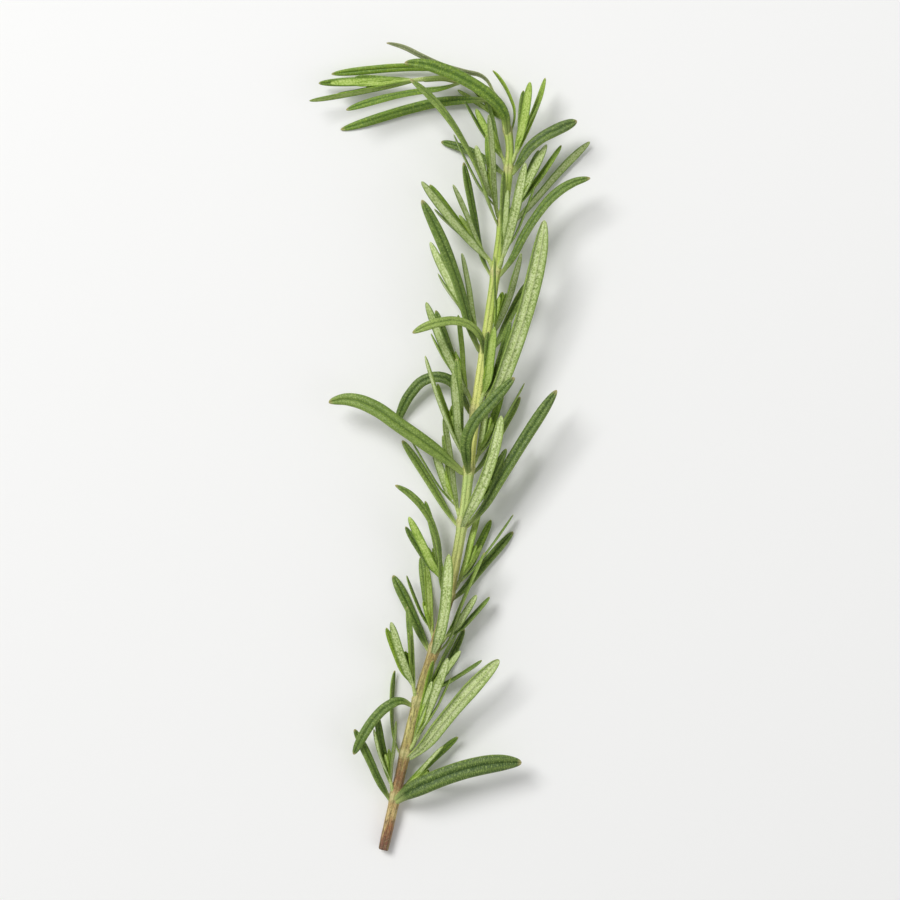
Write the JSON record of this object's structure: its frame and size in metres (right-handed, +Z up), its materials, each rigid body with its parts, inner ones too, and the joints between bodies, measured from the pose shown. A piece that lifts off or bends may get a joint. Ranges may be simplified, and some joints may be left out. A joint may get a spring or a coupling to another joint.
{
  "type": "rosemary sprig",
  "caption": "Freshly cut rosemary sprig lying flat: a curved woody stem with paired needle leaves, leafy side shoots and a curled growing tip.",
  "frame": {"origin": "middle of the sprig's box in plan, on the surface that it lies on", "axes": "+Y from the cut end towards the growing tip, +Z up from the surface, +X to the right; the tip curls towards -X"},
  "size_m": [0.0586, 0.1678, 0.0138],
  "materials": {
    "woody_stem": "matte",
    "mature_leaf": "satin",
    "young_leaf": "satin"
  },
  "bodies": {
    "root": {"growing_tip": "young_leaf", "leaf_01_left": "mature_leaf", "leaf_01_top": "mature_leaf", "leaf_02_left": "mature_leaf", "leaf_02_right": "mature_leaf", "leaf_03_left": "mature_leaf", "leaf_03_right": "mature_leaf", "leaf_04_left": "mature_leaf", "leaf_04_right": "mature_leaf", "leaf_04_top": "mature_leaf", "leaf_05_left": "mature_leaf", "leaf_05_right": "mature_leaf", "leaf_06_left": "mature_leaf", "leaf_06_right": "mature_leaf", "leaf_06_top": "mature_leaf", "leaf_07_left": "mature_leaf", "leaf_07_right": "mature_leaf", "leaf_07_top": "mature_leaf", "leaf_08_left": "mature_leaf", "leaf_08_right": "mature_leaf", "leaf_09_left": "mature_leaf", "leaf_09_right": "mature_leaf", "leaf_09_top": "mature_leaf", "leaf_10_left": "mature_leaf", "leaf_10_right": "mature_leaf", "leaf_11_left": "mature_leaf", "leaf_11_right": "mature_leaf", "leaf_12_left": "mature_leaf", "leaf_12_right": "mature_leaf", "leaf_13_right": "young_leaf", "leaf_13_top": "young_leaf", "leaf_14_left": "young_leaf", "leaf_14_right": "young_leaf", "leaf_15_left": "young_leaf", "leaf_15_right": "young_leaf", "shoot_01_left": "mature_leaf", "shoot_01_right": "mature_leaf", "shoot_02_right": "mature_leaf", "shoot_03_left": "mature_leaf", "shoot_03_right": "mature_leaf", "shoot_04_left": "mature_leaf", "shoot_04_right": "mature_leaf", "shoot_05_left": "mature_leaf", "shoot_05_right": "mature_leaf", "shoot_06_left": "mature_leaf", "shoot_06_right": "mature_leaf", "shoot_07_left": "mature_leaf", "shoot_07_right": "mature_leaf", "shoot_08_left": "mature_leaf", "shoot_08_right": "mature_leaf", "shoot_09_left": "mature_leaf", "shoot_09_right": "mature_leaf", "shoot_10_left": "mature_leaf", "shoot_10_right": "mature_leaf", "shoot_11_left": "mature_leaf", "shoot_11_right": "mature_leaf", "shoot_12_left": "mature_leaf", "shoot_12_right": "mature_leaf", "shoot_13_right": "young_leaf", "stem": "woody_stem"}
  },
  "joints": []
}
